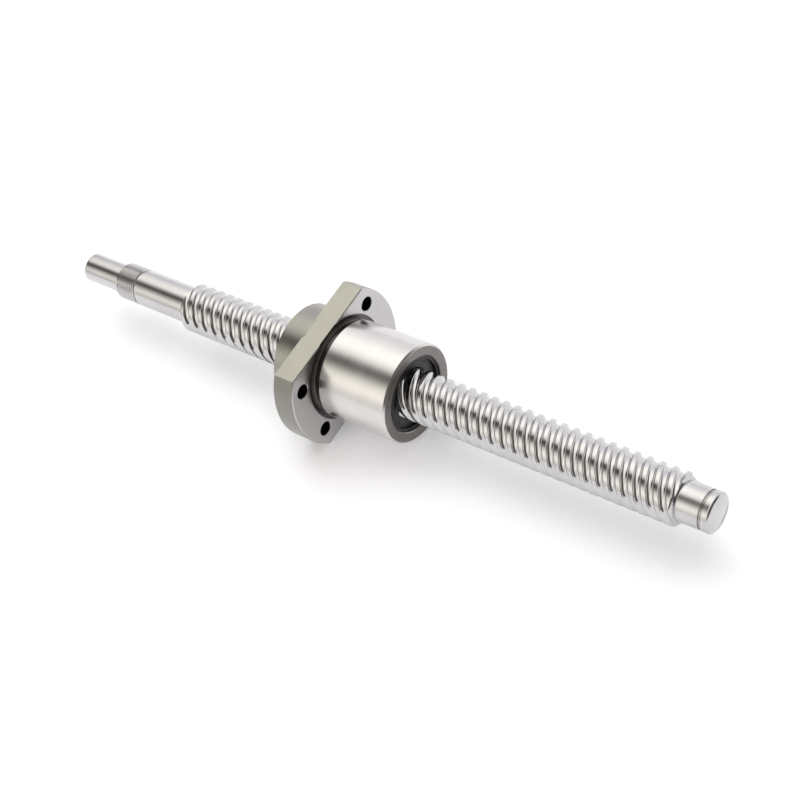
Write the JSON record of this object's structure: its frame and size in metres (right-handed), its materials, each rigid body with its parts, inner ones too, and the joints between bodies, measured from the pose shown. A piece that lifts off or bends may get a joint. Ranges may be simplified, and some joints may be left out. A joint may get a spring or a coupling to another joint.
{
  "type": "ball screw assembly",
  "caption": "Ball screw with a high-lead multi-start thread, machined ends and a flanged nut with two flats, black end caps and recirculating balls.",
  "frame": {"origin": "on the screw's axis, at the seating face of the nut's flange, with the nut at its rest place", "axes": "+X along the screw towards its support end, +Y along the long way of the flange, +Z square to the flange's flats"},
  "size_m": [0.299, 0.062, 0.041],
  "materials": {
    "screw_steel": "polished bearing steel",
    "nut_steel": "ground alloy steel",
    "cap_plastic": "black acetal",
    "wiper_plastic": "black acetal",
    "spring_steel": "spring steel",
    "ring_steel": "blackened spring steel",
    "pin_steel": "ground steel",
    "ball_steel": "polished bearing steel"
  },
  "bodies": {
    "screw": {"screw_shaft": "screw_steel"},
    "carriage": {"wiper_spring_front": "spring_steel", "wiper_spring_rear": "spring_steel"},
    "nut": {"nut_body": "nut_steel", "return_cap_front": "cap_plastic", "return_cap_rear": "cap_plastic", "wiper_front": "wiper_plastic", "wiper_rear": "wiper_plastic", "retaining_ring_front": "ring_steel", "retaining_ring_rear": "ring_steel", "cap_pins_front": "pin_steel", "cap_pins_rear": "pin_steel", "balls_loaded_1": "ball_steel", "balls_loaded_2": "ball_steel", "balls_loaded_3": "ball_steel", "balls_loaded_4": "ball_steel", "balls_return_1": "ball_steel", "balls_return_2": "ball_steel", "balls_return_3": "ball_steel", "balls_return_4": "ball_steel"}
  },
  "joints": [
    {"name": "nut_travel", "type": "slide", "parent": "screw", "child": "carriage", "axis": [1, 0, 0], "range_m": [-0.05, 0.1]},
    {"name": "nut_turn", "type": "hinge", "parent": "carriage", "child": "nut", "pos_m": [0, 0, 0], "axis": [1, 0, 0], "range_deg": [-900, 1800]}
  ],
  "couplings": [
    {"joint": "nut_travel", "follows": "nut_turn", "m_per_rad": 0.0031831}
  ]
}
